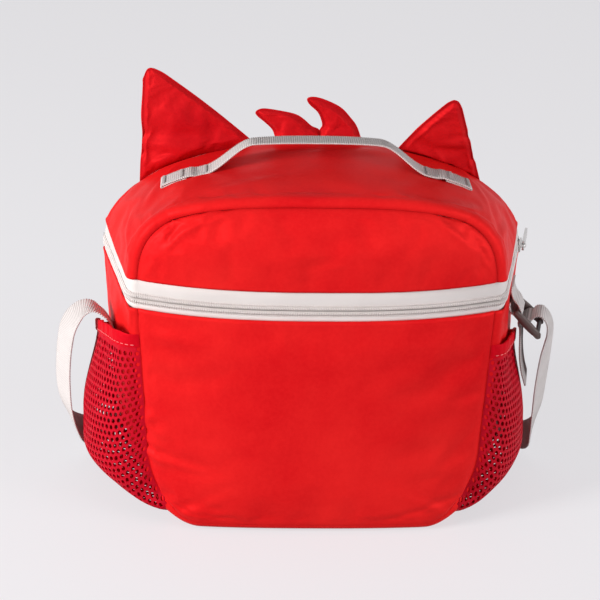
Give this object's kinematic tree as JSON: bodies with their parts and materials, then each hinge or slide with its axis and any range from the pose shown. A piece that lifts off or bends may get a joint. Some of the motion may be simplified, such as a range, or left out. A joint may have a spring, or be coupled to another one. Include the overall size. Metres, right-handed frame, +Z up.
{
  "type": "insulated lunch bag",
  "caption": "Soft insulated lunch bag with zip-round lid, padded ears and tuft, mesh side pockets, carry handle and adjustable shoulder strap.",
  "frame": {"origin": "centre of the base, on the surface that the bag stands on", "axes": "+Z up, -Y towards the back face that the zip crosses, +Y towards the eared front face, +X to the right seen from the back face"},
  "size_m": [0.3296, 0.2041, 0.2781],
  "materials": {
    "red_fabric": "woven polyester, fine satin weave",
    "ear_fabric": "woven polyester over padding",
    "hem_elastic": "folded binding over elastic",
    "pocket_mesh": "open hexagonal knit mesh",
    "zip_tape": "twill tape",
    "zip_coil": "moulded nylon coil",
    "zip_metal": "plated zinc casting",
    "webbing": "ribbed polyester webbing",
    "buckle_plastic": "moulded acetal",
    "foam": "closed-cell polyethylene foam",
    "liner": "wipe-clean film lining",
    "filling": "polyester wadding"
  },
  "bodies": {
    "bag_body": {"body_back_panel": "red_fabric", "body_front_panel": "red_fabric", "body_gusset": "red_fabric", "body_back_foam": "foam", "body_front_foam": "foam", "body_gusset_foam": "foam", "body_back_liner": "liner", "body_front_liner": "liner", "body_gusset_liner": "liner", "zip_tape_lower": "zip_tape", "zip_coil_lower": "zip_coil", "zip_stops_lower": "zip_metal", "left_pocket_mesh": "pocket_mesh", "left_pocket_hem": "hem_elastic", "right_pocket_mesh": "pocket_mesh", "right_pocket_hem": "hem_elastic", "strap_anchor_loop": "webbing", "strap_buckle": "buckle_plastic", "shoulder_strap": "webbing", "strap_tail": "webbing"},
    "lid": {"lid_back_panel": "red_fabric", "lid_front_panel": "red_fabric", "lid_gusset": "red_fabric", "lid_back_foam": "foam", "lid_front_foam": "foam", "lid_gusset_foam": "foam", "lid_back_liner": "liner", "lid_front_liner": "liner", "lid_gusset_liner": "liner", "zip_tape_upper": "zip_tape", "zip_coil_upper": "zip_coil", "zip_stops_upper": "zip_metal", "carry_handle": "webbing", "left_ear": "ear_fabric", "left_ear_filling": "filling", "right_ear": "ear_fabric", "right_ear_filling": "filling", "hair_tuft": "ear_fabric", "hair_tuft_filling": "filling"},
    "slider": {"zip_slider": "zip_metal"},
    "pull": {"zip_pull": "zip_metal"}
  },
  "joints": [
    {"name": "lid_hinge", "type": "hinge", "parent": "bag_body", "child": "lid", "pos_m": [0, 0.067, 0.161], "axis": [-1, 0, 0], "range_deg": [0, 105]},
    {"name": "slider_run", "type": "slide", "parent": "bag_body", "child": "slider", "axis": [-0.1988, -0.98, 0], "range_m": [0, 0.07]},
    {"name": "pull_swing", "type": "hinge", "parent": "slider", "child": "pull", "pos_m": [0.1423, 0.04399, 0.161], "axis": [0, 0, -1], "range_deg": [0, 170]}
  ]
}
